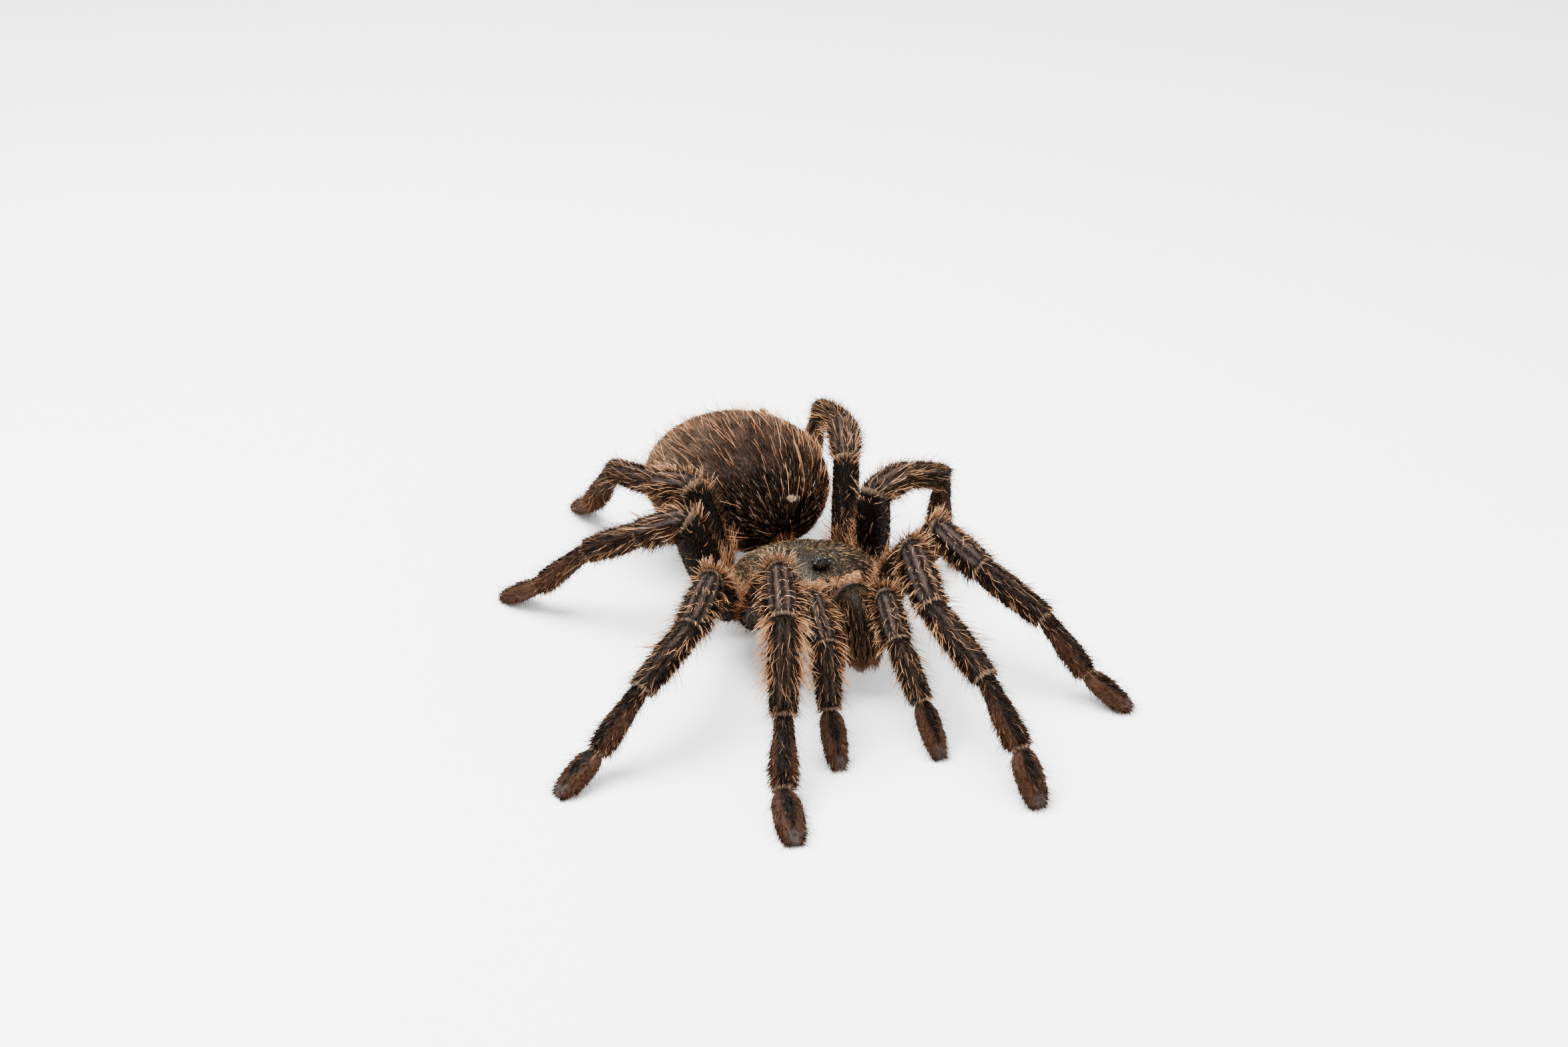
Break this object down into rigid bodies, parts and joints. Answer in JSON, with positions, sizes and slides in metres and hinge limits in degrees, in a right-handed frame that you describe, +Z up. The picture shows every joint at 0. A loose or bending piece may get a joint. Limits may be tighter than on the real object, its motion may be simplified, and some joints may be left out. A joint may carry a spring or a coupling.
{
  "type": "brazilian salmon pink birdeater",
  "caption": "Still, life-size model of a large hairy tarantula standing with all feet on the floor, legs bent high at the knees.",
  "frame": {"origin": "on the floor, under the middle of the box round the standing spider", "axes": "+Z up, the spider faces -Y, +X towards its left side"},
  "size_m": [0.1299, 0.1602, 0.0403],
  "materials": {
    "abdomen_coat": "dark brown velvet under long salmon bristles",
    "dark_skin": "short near-black hair",
    "spinneret_coat": "short brown hair",
    "carapace_coat": "close olive-brown hair raying from the middle",
    "chelicera_coat": "bare purple-brown crown with tan hair below",
    "fang": "polished black-brown horn",
    "eye_mound": "smooth black skin",
    "eye": "clear, wet-looking dark beads",
    "coxa_coat": "dense salmon hair",
    "femur_velvet": "velvety black hair with a pale ring at the far end",
    "tibia_coat": "grey-brown velvet with two bare stripes under long salmon bristles",
    "foot_velvet": "dark red-brown velvet with a near-black middle line"
  },
  "bodies": {
    "root": {"abdomen": "abdomen_coat", "pedicel": "dark_skin", "spinneret_left": "spinneret_coat", "spinneret_right": "spinneret_coat", "carapace": "carapace_coat", "sternum": "dark_skin", "chelicera_left": "chelicera_coat", "chelicera_right": "chelicera_coat", "fang_left": "fang", "fang_right": "fang", "eye_mound": "eye_mound", "eye_front_inner_left": "eye", "eye_front_outer_left": "eye", "eye_back_outer_left": "eye", "eye_back_inner_left": "eye", "eye_front_inner_right": "eye", "eye_front_outer_right": "eye", "eye_back_outer_right": "eye", "eye_back_inner_right": "eye", "palp_left_coxa": "coxa_coat", "palp_left_femur": "femur_velvet", "palp_left_tibia": "tibia_coat", "palp_left_foot": "foot_velvet", "palp_right_coxa": "coxa_coat", "palp_right_femur": "femur_velvet", "palp_right_tibia": "tibia_coat", "palp_right_foot": "foot_velvet", "leg_1_left_coxa": "coxa_coat", "leg_1_left_femur": "femur_velvet", "leg_1_left_tibia": "tibia_coat", "leg_1_left_foot": "foot_velvet", "leg_1_right_coxa": "coxa_coat", "leg_1_right_femur": "femur_velvet", "leg_1_right_tibia": "tibia_coat", "leg_1_right_foot": "foot_velvet", "leg_2_left_coxa": "coxa_coat", "leg_2_left_femur": "femur_velvet", "leg_2_left_tibia": "tibia_coat", "leg_2_left_foot": "foot_velvet", "leg_2_right_coxa": "coxa_coat", "leg_2_right_femur": "femur_velvet", "leg_2_right_tibia": "tibia_coat", "leg_2_right_foot": "foot_velvet", "leg_3_left_coxa": "coxa_coat", "leg_3_left_femur": "femur_velvet", "leg_3_left_tibia": "tibia_coat", "leg_3_left_foot": "foot_velvet", "leg_3_right_coxa": "coxa_coat", "leg_3_right_femur": "femur_velvet", "leg_3_right_tibia": "tibia_coat", "leg_3_right_foot": "foot_velvet", "leg_4_left_coxa": "coxa_coat", "leg_4_left_femur": "femur_velvet", "leg_4_left_tibia": "tibia_coat", "leg_4_left_foot": "foot_velvet", "leg_4_right_coxa": "coxa_coat", "leg_4_right_femur": "femur_velvet", "leg_4_right_tibia": "tibia_coat", "leg_4_right_foot": "foot_velvet"}
  },
  "joints": []
}
